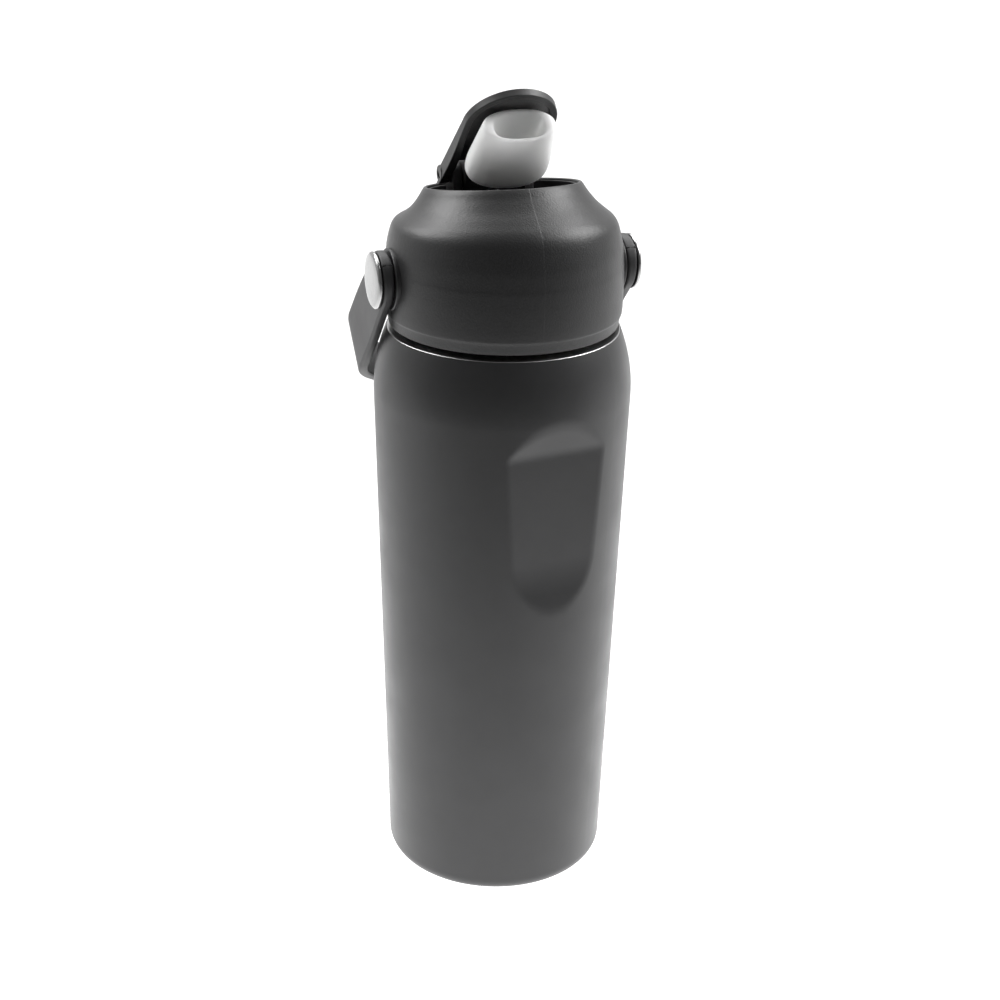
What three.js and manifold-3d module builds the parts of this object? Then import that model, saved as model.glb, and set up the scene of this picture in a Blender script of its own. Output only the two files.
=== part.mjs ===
// A double-walled steel drinking flask with a screw lid, a flip-up drinking spout and a swinging carry loop.
// Millimetres, +Z up. The origin is the centre of the face it stands on, the spout drinks towards -Y,
// and the spout's hinge and the carry loop's pivots lie along X.
import * as THREE from "three";
import { mergeVertices } from "three/addons/utils/BufferGeometryUtils.js";
import Module from "manifold-3d";

const wasm = await Module();
wasm.setup();

// ---- Driving dimensions --------------------------------------------------------------------------

const GAP = 0.3; // clearance between neighbouring pieces
const ROUND = 36; // facets round the large turned pieces
const FINE = 16; // facets round the small ones
const OVERSHOOT = 1; // how far a cutting tool runs past what it cuts

// Flask body
const BASE_RADIUS = 32.2;
const BASE_CORNER = 4.6;
const TAPER = 0.027; // growth of the radius per millimetre of height
const SHOULDER_START = 148;
const SHOULDER_ARC = 46;
const LEDGE_Z = 165.8;
const SHEET = 0.7; // thickness of the steel
const VACUUM_GAP = 3.5;
const FOOT_RADIUS = 21; // opening in the underside, filled by the foot pad
const NECK_RADIUS = 27;
const NECK_TOP = 183.2;
const LIP_TOP = 184.3;
const VESSEL_FLOOR = 7;
const VESSEL_CORNER = 7;
const BASE_PLATE_RADIUS = 24;
const BASE_PLATE_LOW = SHEET + GAP;
const BASE_PLATE_HIGH = BASE_PLATE_LOW + 0.8;
const PLUG_RADIUS = 1.5;
const GETTER_RADIUS = 5;
const GETTER_THICK = 2;
const GETTER_X = 11;

// Thumb panel pressed into the front of the body
const PANEL_TURN = THREE.MathUtils.degToRad(8); // the lid stops a little short of the panel
const PANEL_DEPTH_RADIUS = 32.8; // the flat's distance from the axis
const PANEL_LOW = 104;
const PANEL_HIGH = 139;
const PANEL_SCOOP_SLOPE = 6.1; // fall of the lower ramp per millimetre outwards
const PANEL_TOP_SLOPE = 2.6; // rise of the upper ramp per millimetre outwards

// Screw thread between neck and lid
const THREAD_TURNS = 1.25;
const THREAD_PITCH = 4;
const THREAD_STEPS = 36;
const NECK_THREAD_Z = 170.5;
const LID_THREAD_Z = 172.5;

// Lid collar
const COLLAR_BOTTOM = 167.3;
const SKIRT_OUTER = 30.6;
const SKIRT_INNER = 29;
const FLOOR_LOW = 186.2;
const FLOOR_TOP = 188.4;
const RIM_RADIUS = 21.45;
const RIM_WALL = 1;
const DISH_WALL = 0.65;

// The top of the lid leans back about a line along X
const LEAN = THREE.MathUtils.degToRad(9.8);
const LEAN_PIVOT_Z = 188.7;
const LEAN_START_Z = 191;
const LEAN_END_Z = 202;
const RIM_RISE = 16.25; // rim above the leaning pivot, along the leaning axis
const BACKSTOP_RISE = 1.9;
const BACKSTOP_HALF_ANGLE = THREE.MathUtils.degToRad(36);

// Spout hinge, in the leaning frame
const HINGE_Y = 11.4;
const HINGE_Z = 19.1;
const OPEN_TURN = THREE.MathUtils.degToRad(36); // closed to open
const ARM_OUTER = 14.5;
const ARM_INNER = 11.9;
const EAR_OUTER = 11.6;
const EAR_INNER = 8.8;
const BARREL_HALF = 8.5;
const BARREL_RADIUS = 5.3;
const EYE_RADIUS = 2.5;
const PIN_RADIUS = 1;
const FLOW_RADIUS = 2;

// Hood over the mouthpiece, measured from the hinge axis with the spout closed
const HOOD_TOP = 1.3;
const HOOD_SHEET = 1.9;
const HOOD_LENGTH = 36.6;
const HOOD_NOSE = 12.8; // length of the rounded end
const HOOD_NOSE_HALF = 12.8;
const RAIL_DEPTH = 3.6;
const RAIL_LENGTH = 21;

// Mouthpiece
const MOUTH_START = 10.8;
const MOUTH_LENGTH = 16.8;
const MOUTH_HALF_WIDTH = 11.3;
const MOUTH_FLATNESS = 0.56; // height over width
const MOUTH_DROP = 7.3; // axis below the hinge axis
const TUBE_RADIUS = 2.8; // tube from the barrel into the mouthpiece
const TUBE_SOCKET = 5; // how far it reaches in

// Straw and its port
const STRAW_Y = 10.6;
const STRAW_OUTER = 4.1;
const STRAW_INNER = 3.3;
const STRAW_BOTTOM = 11;
const NIPPLE_RADIUS = 3;
const NIPPLE_BOTTOM = 174;
const PORT_RADIUS = 5.6;
const PORT_POCKET = 3.4; // radius of the pocket that holds the port seal
const PORT_POCKET_Z = 7.4;

// Air valve in the lid's floor
const VENT_Y = -11;
const VENT_STEM = 1.3;

// Carry loop
const LOOP_Z = 181.3; // height of its pivots
const LOOP_DROP = THREE.MathUtils.degToRad(44); // below the horizontal, where it rests on the body
const LOOP_OUTER = 36.2; // half of its outside width
const LOOP_THICK = 2.8;
const LOOP_ARM = 35; // pivot to the start of the arch
const LOOP_REACH = 62.4; // pivot to the outside of the arch
const EYE_HALF = 7.9;
const ARM_HALF = 8.9;
const GRIP_HALF = 6;
const BOSS_FACE = 33;
const BOSS_RADIUS = 8.4;
const CAP_RADIUS = 7.8;
const SCREW_RADIUS = 2.2;
const SPACER_RADIUS = 6.6;
const SPACER_OUT = BOSS_FACE + 4 * GAP;

// ---- Materials -----------------------------------------------------------------------------------

const finish = (color, roughness, metalness) =>
  new THREE.MeshStandardMaterial({ color, roughness, metalness });

const COATING = finish(0x2b2b2c, 0.5, 0.2);
const STEEL = finish(0xb9babb, 0.3, 1);
const CHROME = finish(0xe4e5e6, 0.08, 1);
const BLACK_PLASTIC = finish(0x151516, 0.55, 0);
const LOOP_PLASTIC = finish(0x1d1d1f, 0.6, 0);
const MILKY_SILICONE = finish(0xe6e6e4, 0.45, 0);
const SEAL_SILICONE = finish(0xd8dadb, 0.5, 0);
const STRAW_PLASTIC = finish(0xdfe4e6, 0.25, 0);
const FOOT_RUBBER = finish(0x101011, 0.8, 0);
const GETTER_METAL = finish(0x8d8f92, 0.5, 1);
const PLUG_RESIN = finish(0x3b3a38, 0.4, 0);

// ---- Solid helpers -------------------------------------------------------------------------------

/** A closed geometry as a manifold-3d solid, with its shared vertices merged. */
function solid(geometry) {
  const loose = geometry.index ? geometry.toNonIndexed() : geometry.clone();
  const bare = new THREE.BufferGeometry().setAttribute("position", loose.attributes.position);
  const merged = mergeVertices(bare);
  const corners = merged.index.array;
  const kept = [];
  for (let i = 0; i < corners.length; i += 3) {
    const [a, b, c] = corners.slice(i, i + 3);
    if (a !== b && b !== c && c !== a) kept.push(a, b, c);
  }
  return new wasm.Manifold(
    new wasm.Mesh({
      numProp: 3,
      vertProperties: merged.attributes.position.array,
      triVerts: new Uint32Array(kept),
    }),
  );
}

/** A manifold-3d solid as a three.js geometry with flat normals. */
function geometryOf(body) {
  const mesh = body.getMesh();
  const geometry = new THREE.BufferGeometry()
    .setAttribute("position", new THREE.BufferAttribute(mesh.vertProperties, 3))
    .setIndex(new THREE.BufferAttribute(mesh.triVerts, 1))
    .toNonIndexed();
  geometry.computeVertexNormals();
  return geometry;
}

const joined = (...bodies) => bodies.reduce((whole, body) => whole.add(body));
const cut = (body, ...tools) => tools.reduce((rest, tool) => rest.subtract(tool), body);

/** Puts a solid into a group as a named mesh. */
function place(group, name, material, body) {
  const mesh = new THREE.Mesh(geometryOf(body), material);
  mesh.name = name;
  group.add(mesh);
}

/** Turns [radius, height] points round +Z. The points run anticlockwise with the axis on the left. */
function turned(points, facets = ROUND) {
  const profile = points.map(([radius, height]) => new THREE.Vector2(radius, height));
  const first = profile[0];
  const last = profile[profile.length - 1];
  const onAxis = first.x === 0 && last.x === 0;
  if (!onAxis && !first.equals(last)) profile.push(first.clone());
  return new THREE.LatheGeometry(profile, facets).rotateX(Math.PI / 2);
}

/** A ring or tube round +Z. */
const ring = (inner, outer, low, high, facets = ROUND) =>
  turned([[inner, low], [outer, low], [outer, high], [inner, high]], facets);

const AXIS_TURN = {
  x: (geometry) => geometry.rotateZ(-Math.PI / 2),
  y: (geometry) => geometry,
  z: (geometry) => geometry.rotateX(Math.PI / 2),
};

/** A round bar from one place to another along an axis. */
function bar(axis, radius, from, to, facets = FINE) {
  const geometry = new THREE.CylinderGeometry(radius, radius, to - from, facets);
  AXIS_TURN[axis](geometry);
  const middle = (from + to) / 2;
  return geometry.translate(
    axis === "x" ? middle : 0,
    axis === "y" ? middle : 0,
    axis === "z" ? middle : 0,
  );
}

/** Extrudes a [y, z] outline along X from one place to another. */
function slab(outline, from, to) {
  const shape = new THREE.Shape(outline.map(([y, z]) => new THREE.Vector2(y, z)));
  const geometry = new THREE.ExtrudeGeometry(shape, { depth: to - from, bevelEnabled: false });
  // The shape's own x and y become Y and Z, and the extrusion runs along X.
  const toRow = new THREE.Matrix4().makeBasis(
    new THREE.Vector3(0, 1, 0),
    new THREE.Vector3(0, 0, 1),
    new THREE.Vector3(1, 0, 0),
  );
  return geometry.applyMatrix4(toRow).translate(from, 0, 0);
}

/** Moves every vertex of a geometry by a function of its position. */
function reshaped(geometry, move) {
  const position = geometry.attributes.position;
  const point = new THREE.Vector3();
  for (let i = 0; i < position.count; i += 1) {
    point.fromBufferAttribute(position, i);
    move(point);
    position.setXYZ(i, point.x, point.y, point.z);
  }
  return geometry;
}

/** Points of a circular arc, with both ends, angles from +X of the outline. */
function arc(cx, cy, radius, start, end, steps) {
  const points = [];
  for (let i = 0; i <= steps; i += 1) {
    const angle = THREE.MathUtils.degToRad(start + ((end - start) * i) / steps);
    points.push([cx + radius * Math.cos(angle), cy + radius * Math.sin(angle)]);
  }
  return points;
}

const mirrored = (geometry) => {
  const other = geometry.clone().applyMatrix4(new THREE.Matrix4().makeScale(-1, 1, 1));
  const loose = other.index ? other.toNonIndexed() : other;
  const position = loose.attributes.position;
  const swap = new THREE.Vector3();
  const keep = new THREE.Vector3();
  for (let i = 0; i < position.count; i += 3) {
    keep.fromBufferAttribute(position, i + 1);
    swap.fromBufferAttribute(position, i + 2);
    position.setXYZ(i + 1, swap.x, swap.y, swap.z);
    position.setXYZ(i + 2, keep.x, keep.y, keep.z);
  }
  return loose;
};

const SIDES = [
  ["left", (geometry) => mirrored(geometry)],
  ["right", (geometry) => geometry],
];

// ---- The leaning frame of the lid's top ----------------------------------------------------------

const leaning = new THREE.Matrix4()
  .makeTranslation(0, 0, LEAN_PIVOT_Z)
  .multiply(new THREE.Matrix4().makeRotationX(-LEAN));

/** A geometry made in the leaning frame, in the object's frame. */
const leaned = (geometry) => geometry.applyMatrix4(leaning);

/** Bends the upper part of an upright turned piece into the leaning frame. */
function bentBack(geometry) {
  return reshaped(geometry, (point) => {
    const share = THREE.MathUtils.smoothstep(point.z, LEAN_START_Z, LEAN_END_Z);
    const height = point.z - LEAN_PIVOT_Z;
    const angle = -LEAN * share;
    const y = point.y * Math.cos(angle) - height * Math.sin(angle);
    const z = point.y * Math.sin(angle) + height * Math.cos(angle);
    point.set(point.x, y, z + LEAN_PIVOT_Z);
  });
}

// ---- Flask body ----------------------------------------------------------------------------------

const bodyRadius = (z) => BASE_RADIUS + TAPER * (z - BASE_CORNER);

/** The outside of the body from the foot to the ledge under the lid, moved inwards by a distance. */
function bodyOutline(inset) {
  const corner = BASE_CORNER - inset;
  const cornerX = BASE_RADIUS - BASE_CORNER;
  const shoulderRadius = bodyRadius(SHOULDER_START) - inset;
  const shoulderAngle = THREE.MathUtils.radToDeg(
    Math.asin((LEDGE_Z - SHOULDER_START) / SHOULDER_ARC),
  );
  const shoulderArc = SHOULDER_ARC - inset;
  const shoulder = arc(
    shoulderRadius - shoulderArc,
    SHOULDER_START,
    shoulderArc,
    0,
    shoulderAngle,
    6,
  );
  return [...arc(cornerX, BASE_CORNER, corner, -90, 0, 5), ...shoulder];
}

/** A ridge wound round the Z axis, from an outline of [outward, up] points. */
function thread(outline, radius, startZ) {
  const shape = new THREE.Shape(outline.map(([out, up]) => new THREE.Vector2(out, up)));
  const ridge = new THREE.ExtrudeGeometry(shape, {
    depth: THREAD_TURNS,
    steps: THREAD_STEPS,
    bevelEnabled: false,
  });
  return reshaped(ridge, (point) => {
    const angle = -point.z * 2 * Math.PI;
    const reach = radius + point.x;
    const height = startZ + point.y + (THREAD_TURNS - point.z) * THREAD_PITCH;
    point.set(reach * Math.cos(angle), reach * Math.sin(angle), height);
  });
}

/** The tool that presses the thumb panel, moved inwards by a distance. */
function panelTool(inset) {
  const flat = PANEL_DEPTH_RADIUS - inset;
  const reach = 6;
  const outline = [
    [-flat - reach, PANEL_LOW - inset - reach * PANEL_SCOOP_SLOPE],
    [-flat, PANEL_LOW - inset],
    [-flat, PANEL_HIGH + inset],
    [-flat - reach, PANEL_HIGH + inset + reach * PANEL_TOP_SLOPE],
  ].reverse();
  const halfWidth = BASE_RADIUS;
  return slab(outline, -halfWidth, halfWidth).rotateZ(PANEL_TURN);
}

function outerShell() {
  const outline = bodyOutline(0);
  const ledge = outline[outline.length - 1];
  const outside = turned([
    [0, 0],
    ...outline,
    [ledge[0] - 0.4, LEDGE_Z + 0.15],
    [NECK_RADIUS + 0.6, LEDGE_Z + 0.15],
    [NECK_RADIUS, LEDGE_Z + 0.9],
    [NECK_RADIUS, NECK_TOP],
    [0, NECK_TOP],
  ]);
  const lined = bodyOutline(SHEET);
  const inside = turned([
    [0, SHEET],
    ...lined.slice(0, -1),
    [lined[lined.length - 1][0], LEDGE_Z - SHEET],
    [NECK_RADIUS - SHEET, LEDGE_Z - SHEET],
    [NECK_RADIUS - SHEET, NECK_TOP + OVERSHOOT],
    [0, NECK_TOP + OVERSHOOT],
  ]);
  const ridge = thread([[-0.4, -1.2], [0.35, -0.4], [0.35, 0.4], [-0.4, 1.2]], NECK_RADIUS, NECK_THREAD_Z);
  const hollow = cut(solid(inside), solid(panelTool(SHEET)));
  return cut(
    joined(cut(solid(outside), solid(panelTool(0))), solid(ridge)),
    hollow,
    solid(bar("z", FOOT_RADIUS, -OVERSHOOT, SHEET + OVERSHOOT, ROUND)),
  );
}

/** The vessel's profile inside the vacuum gap, up to the start of its neck. */
function vesselOutline(inset) {
  const offset = SHEET + VACUUM_GAP + inset;
  const wall = (z) => bodyRadius(z) - offset;
  const corner = VESSEL_CORNER - inset;
  const low = VESSEL_FLOOR + VESSEL_CORNER;
  const neck = NECK_RADIUS - SHEET - GAP - inset;
  const points = arc(wall(low) - corner, low, corner, -90, 0, 4);
  const shoulderLow = SHOULDER_START - 3;
  const shoulderHigh = LEDGE_Z - 2;
  const steps = 6;
  for (let i = 0; i <= steps; i += 1) {
    const share = i / steps;
    const ease = THREE.MathUtils.smoothstep(share, 0, 1);
    const z = THREE.MathUtils.lerp(shoulderLow, shoulderHigh, share);
    points.push([THREE.MathUtils.lerp(wall(shoulderLow), neck, ease), z]);
  }
  return points;
}

function innerVessel() {
  const neckOuter = NECK_RADIUS - SHEET - GAP;
  const neckInner = neckOuter - SHEET;
  const lipLow = NECK_TOP + GAP;
  return solid(
    turned([
      [0, VESSEL_FLOOR],
      ...vesselOutline(0),
      [neckOuter, lipLow],
      [NECK_RADIUS, lipLow],
      [NECK_RADIUS, LIP_TOP - 0.3],
      [NECK_RADIUS - 0.4, LIP_TOP],
      [neckInner + 0.3, LIP_TOP],
      [neckInner, LIP_TOP - 0.3],
      ...vesselOutline(SHEET).reverse(),
      [0, VESSEL_FLOOR + SHEET],
    ]),
  );
}

const basePlate = () =>
  solid(ring(PLUG_RADIUS + GAP, BASE_PLATE_RADIUS, BASE_PLATE_LOW, BASE_PLATE_HIGH));
const vacuumPlug = () => solid(bar("z", PLUG_RADIUS, BASE_PLATE_LOW, BASE_PLATE_HIGH + 0.6));
const getter = () => {
  const low = BASE_PLATE_HIGH + GAP;
  return solid(bar("z", GETTER_RADIUS, low, low + GETTER_THICK).translate(GETTER_X, 0, 0));
};
const footPad = () => solid(bar("z", FOOT_RADIUS - GAP, 0, SHEET, ROUND));

// ---- Lid -----------------------------------------------------------------------------------------

/** The collar's outside above its chamfered foot, as [radius, height], before it is bent back. */
const COLLAR_OUTSIDE = [
  [31.9, COLLAR_BOTTOM],
  [32.5, 170.2],
  [32.8, 173.5],
  [32.85, 179],
  [32.6, 185],
  [32.2, 189.5],
  [31.5, 192.6],
  [30.8, 194.6],
  [29.6, 195.9],
  [27.4, 197.4],
  [25, 199.4],
  [23, 202.1],
  [21.9, 204],
];

const COLLAR_INSIDE = [
  [20.6, 203.4],
  [21.2, 201.6],
  [23.2, 198.6],
  [25.8, 196.2],
  [28.2, 194.4],
  [29.8, 192.4],
  [SKIRT_OUTER + GAP, 189.2],
  [SKIRT_OUTER + GAP, COLLAR_BOTTOM + 0.6],
  [SKIRT_OUTER + 2 * GAP, COLLAR_BOTTOM],
];

function pivotBoss() {
  const hole = bar("x", SCREW_RADIUS + GAP, SKIRT_OUTER, BOSS_FACE + OVERSHOOT);
  const boss = bar("x", BOSS_RADIUS, SKIRT_OUTER + GAP, BOSS_FACE, 32);
  return {
    boss: boss.translate(0, 0, LOOP_Z),
    hole: hole.translate(0, 0, LOOP_Z),
  };
}

/** Raises the piece of the rim that lies behind the hinge. */
function withBackstop(geometry) {
  return reshaped(geometry, (point) => {
    if (point.z < LEAN_PIVOT_Z + RIM_RISE - RIM_WALL / 2) return;
    const share = Math.atan2(Math.abs(point.x), point.y) / BACKSTOP_HALF_ANGLE;
    if (share < 1) point.z += BACKSTOP_RISE;
  });
}

function lidCollar() {
  const rimZ = LEAN_PIVOT_Z + RIM_RISE;
  const rimInner = RIM_RADIUS - RIM_WALL;
  const upright = turned([
    ...COLLAR_OUTSIDE,
    [RIM_RADIUS, rimZ - 0.3],
    [RIM_RADIUS - 0.3, rimZ],
    [rimInner + 0.1, rimZ],
    ...COLLAR_INSIDE,
  ]);
  const shell = bentBack(withBackstop(upright));
  const { boss, hole } = pivotBoss();
  const core = solid(bar("z", SKIRT_OUTER + 3 * GAP, LOOP_Z - 20, LOOP_Z + 20, ROUND));
  const bosses = [boss, mirrored(boss)].map((geometry) => cut(solid(geometry), core));
  return cut(joined(solid(shell), ...bosses), solid(hole), solid(mirrored(hole)));
}

/** An upright plate that carries a hinge pin, in the leaning frame. */
function hingeEar() {
  const rounded = arc(HINGE_Y, HINGE_Z, 3.2, 0, 180, 8);
  return slab([[HINGE_Y - 5, -1.5], [HINGE_Y + 5, -1.5], ...rounded], EAR_INNER, EAR_OUTER);
}

function lidLiner() {
  const dishOuter = RIM_RADIUS - RIM_WALL - GAP;
  const dishInner = dishOuter - DISH_WALL;
  const skirt = turned([
    [SKIRT_INNER, COLLAR_BOTTOM + 1.7],
    [SKIRT_OUTER, COLLAR_BOTTOM + 1.7],
    [SKIRT_OUTER, FLOOR_TOP],
    [0, FLOOR_TOP],
    [0, FLOOR_LOW],
    [SKIRT_INNER, FLOOR_LOW],
    [SKIRT_INNER, COLLAR_BOTTOM + 1.7],
  ]);
  const ridge = thread([[0.6, 1.1], [-1.2, 0.4], [-1.2, -0.4], [0.6, -1.1]], SKIRT_INNER, LID_THREAD_Z);
  const wall = leaned(ring(dishInner, dishOuter, -5.5, RIM_RISE - 0.6));
  const ear = hingeEar();
  const port = bar("z", PORT_RADIUS, -1.5, PORT_POCKET_Z + 2).translate(0, HINGE_Y, 0);
  const pocket = bar("z", PORT_POCKET, PORT_POCKET_Z, PORT_POCKET_Z + 2 + OVERSHOOT);
  const nipple = bar("z", NIPPLE_RADIUS, NIPPLE_BOTTOM, FLOOR_LOW + 1).translate(0, STRAW_Y, 0);
  const below = solid(bar("z", SKIRT_OUTER, FLOOR_LOW - 8, FLOOR_LOW + 1, ROUND));
  const upper = joined(
    solid(wall),
    solid(leaned(ear.clone())),
    solid(leaned(mirrored(ear))),
    solid(leaned(port)),
  );
  const armRoom = bar("x", EYE_RADIUS + 2 * GAP, -ARM_OUTER - GAP, ARM_OUTER + GAP);
  const pinHole = bar("x", PIN_RADIUS + GAP, -EAR_OUTER - OVERSHOOT, EAR_OUTER + OVERSHOOT);
  const flow = bar("z", FLOW_RADIUS, -1, PORT_POCKET_Z + OVERSHOOT);
  const lowFlow = bar("z", FLOW_RADIUS + GAP, NIPPLE_BOTTOM - OVERSHOOT, FLOOR_LOW + 1);
  const ventHole = bar("z", VENT_STEM + GAP, FLOOR_LOW - OVERSHOOT, FLOOR_TOP + OVERSHOOT);
  const atHinge = (geometry) => leaned(geometry.translate(0, HINGE_Y, HINGE_Z));
  const overPort = (geometry) => leaned(geometry.translate(0, HINGE_Y, 0));
  const ears = cut(
    solid(atHinge(armRoom)),
    solid(atHinge(bar("x", 9, -EAR_OUTER - GAP, EAR_OUTER + GAP))),
  );
  return cut(
    joined(solid(skirt), solid(ridge), cut(upper, below), solid(nipple)),
    ears,
    solid(atHinge(pinHole)),
    solid(overPort(pocket)),
    solid(overPort(flow)),
    solid(lowFlow.translate(0, STRAW_Y, 0)),
    solid(ventHole.translate(0, VENT_Y, 0)),
  );
}

const lidGasket = () => {
  const low = LIP_TOP + GAP;
  const high = FLOOR_LOW - GAP;
  return solid(
    turned([[24.4, low + 0.2], [24.7, low], [28.3, low], [28.6, low + 0.2], [28.6, high], [24.4, high]]),
  );
};

/** The sleeve between the straw's port and the turning barrel, hollowed to the barrel and bevelled in
 * front where the tube folds down. */
function portSeal() {
  const body = ring(FLOW_RADIUS, PORT_POCKET - GAP, PORT_POCKET_Z + GAP, HINGE_Z - 3.8, FINE);
  const barrel = bar("x", BARREL_RADIUS + GAP, -BARREL_HALF, BARREL_HALF, 32);
  return cut(
    solid(leaned(body.translate(0, HINGE_Y, 0))),
    solid(leaned(barrel.translate(0, HINGE_Y, HINGE_Z))),
    solid(leaned(elbow(TUBE_RADIUS + GAP).translate(0, HINGE_Y, HINGE_Z))),
  );
}

function ventValve() {
  const low = FLOOR_LOW - GAP;
  return solid(
    turned(
      [
        [0, low - 1],
        [3.4, low - 0.5],
        [3.4, low],
        [VENT_STEM, low],
        [VENT_STEM, FLOOR_TOP + GAP],
        [2.1, FLOOR_TOP + GAP],
        [1.5, FLOOR_TOP + 1.1],
        [0, FLOOR_TOP + 1.1],
      ],
      FINE,
    ).translate(0, VENT_Y, 0),
  );
}

function straw() {
  const tube = ring(STRAW_INNER, STRAW_OUTER, STRAW_BOTTOM, FLOOR_LOW - GAP, FINE);
  const slant = new THREE.BoxGeometry(20, 20, 10)
    .translate(0, 0, -5)
    .rotateX(THREE.MathUtils.degToRad(25))
    .translate(0, 0, STRAW_BOTTOM + 2);
  return cut(solid(tube), solid(slant)).translate(0, STRAW_Y, 0);
}

// ---- Spout, in the leaning frame with its hinge axis at the origin and closed --------------------

/** Half of the hood's outline as [distance from the hinge, half-width] points. */
function hoodEdge(inset) {
  const straight = HOOD_LENGTH - HOOD_NOSE;
  const points = [[0, ARM_OUTER - inset], [straight / 2, (ARM_OUTER + HOOD_NOSE_HALF) / 2 - inset]];
  const steps = 12;
  for (let i = 0; i <= steps; i += 1) {
    const angle = (i / steps) * (Math.PI / 2);
    const reach = straight + (HOOD_NOSE - inset) * Math.sin(angle);
    points.push([reach, (HOOD_NOSE_HALF - inset) * Math.cos(angle)]);
  }
  return points;
}

/** Extrudes a plan outline of [x, y] points upwards. */
function plate(outline, low, high) {
  const shape = new THREE.Shape(outline.map(([x, y]) => new THREE.Vector2(x, y)));
  return new THREE.ExtrudeGeometry(shape, { depth: high - low, bevelEnabled: false }).translate(0, 0, low);
}

function spoutHood() {
  const edge = hoodEdge(0);
  const right = edge.map(([reach, half]) => [half, -reach]);
  const left = [...edge].reverse().slice(1).map(([reach, half]) => [-half, -reach]);
  const cover = plate([...right, ...left].reverse(), HOOD_TOP - HOOD_SHEET, HOOD_TOP);
  const railLow = HOOD_TOP - RAIL_DEPTH;
  const railWide = ARM_OUTER - ARM_INNER;
  const railEdge = hoodEdge(0).filter(([reach]) => reach < RAIL_LENGTH);
  const railEnd = railEdge[railEdge.length - 1];
  const railPlan = [
    ...railEdge.map(([reach, half]) => [half, -reach]),
    [railEnd[1] - railWide, -railEnd[0]],
    [ARM_INNER, 0],
  ].reverse();
  const rail = plate(railPlan, railLow, HOOD_TOP - HOOD_SHEET / 2);
  const eye = bar("x", EYE_RADIUS, ARM_INNER, ARM_OUTER);
  const earRoom = new THREE.BoxGeometry(2 * ARM_INNER, 12, 10).translate(0, 0.5, HOOD_TOP - 2);
  const pinHole = bar("x", PIN_RADIUS + GAP, -ARM_OUTER - OVERSHOOT, ARM_OUTER + OVERSHOOT);
  return cut(
    joined(
      solid(cover),
      solid(rail),
      solid(mirrored(rail)),
      solid(eye),
      solid(mirrored(eye)),
    ),
    solid(earRoom),
    solid(pinHole),
  );
}

/** A round bar from the hinge axis to the back of the mouthpiece. */
function elbow(radius) {
  const shape = new THREE.Shape();
  shape.absarc(0, 0, radius, 0, 2 * Math.PI);
  const end = new THREE.Vector3(0, -MOUTH_START - 1, -MOUTH_DROP);
  return new THREE.ExtrudeGeometry(shape, {
    extrudePath: new THREE.LineCurve3(new THREE.Vector3(0, 0, 0), end),
    steps: 1,
    curveSegments: 10,
    bevelEnabled: false,
  });
}

/** The turning barrel and the tube that leads from it into the mouthpiece. */
function spoutTube() {
  const barrel = bar("x", BARREL_RADIUS, -BARREL_HALF, BARREL_HALF, 32);
  const clear = HOOD_TOP - HOOD_SHEET - GAP;
  const above = new THREE.BoxGeometry(40, 60, 10).translate(0, -20, clear + 5);
  const tail = bar("y", TUBE_RADIUS, -MOUTH_START - TUBE_SOCKET, -MOUTH_START + OVERSHOOT);
  const tailFlow = bar("y", FLOW_RADIUS, -MOUTH_START - TUBE_SOCKET - OVERSHOOT, -MOUTH_START + OVERSHOOT);
  const port = bar("z", FLOW_RADIUS, -BARREL_RADIUS - OVERSHOOT, 0).rotateX(OPEN_TURN);
  const pinHole = bar("x", PIN_RADIUS + GAP, -BARREL_HALF - OVERSHOOT, -BARREL_HALF + 2.6);
  return cut(
    joined(
      cut(joined(solid(barrel), solid(elbow(TUBE_RADIUS))), solid(above)),
      solid(tail.translate(0, 0, -MOUTH_DROP)),
    ),
    solid(elbow(FLOW_RADIUS)),
    solid(tailFlow.translate(0, 0, -MOUTH_DROP)),
    solid(port),
    solid(pinHole),
    solid(mirrored(pinHole)),
  );
}

/** The mouthpiece's outside as [radius, distance along its axis] points. */
const MOUTH_OUTSIDE = [
  [0, 0],
  [6.4, 0],
  [8.8, 0.7],
  [10.3, 2.2],
  [MOUTH_HALF_WIDTH, 4.8],
  [11.1, 7.4],
  [10.5, 10.6],
  [9.8, 13.6],
  [9.3, 15.3],
  [8.7, MOUTH_LENGTH],
];

const MOUTH_INSIDE = [
  [7.6, MOUTH_LENGTH + 0.1],
  [6.9, 13.4],
  [5.4, 10.9],
  [4.2, 9.2],
  [0, 8.6],
];

/** A turned shape laid along -Y and flattened into an oval. */
function oval(points) {
  return turned(points, 32)
    .scale(1, MOUTH_FLATNESS, 1)
    .rotateX(Math.PI / 2)
    .translate(0, -MOUTH_START, -MOUTH_DROP);
}

function mouthpiece() {
  const outside = [...MOUTH_OUTSIDE, [0, MOUTH_LENGTH]];
  const inside = [[0, MOUTH_LENGTH + 2], [7.9, MOUTH_LENGTH + 2], ...MOUTH_INSIDE].reverse();
  const socket = bar("y", TUBE_RADIUS + GAP, -MOUTH_START - TUBE_SOCKET - GAP, -MOUTH_START + OVERSHOOT);
  const flow = bar("y", FLOW_RADIUS, -MOUTH_START - 10, -MOUTH_START);
  return cut(
    solid(oval(outside)),
    solid(oval(inside)),
    solid(socket.translate(0, 0, -MOUTH_DROP)),
    solid(flow.translate(0, 0, -MOUTH_DROP)),
    solid(elbow(TUBE_RADIUS + GAP)),
  );
}

const hingePin = (side) => solid(side(bar("x", PIN_RADIUS, BARREL_HALF - 2, ARM_OUTER - 1.1)));

// ---- Carry loop ----------------------------------------------------------------------------------

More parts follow.
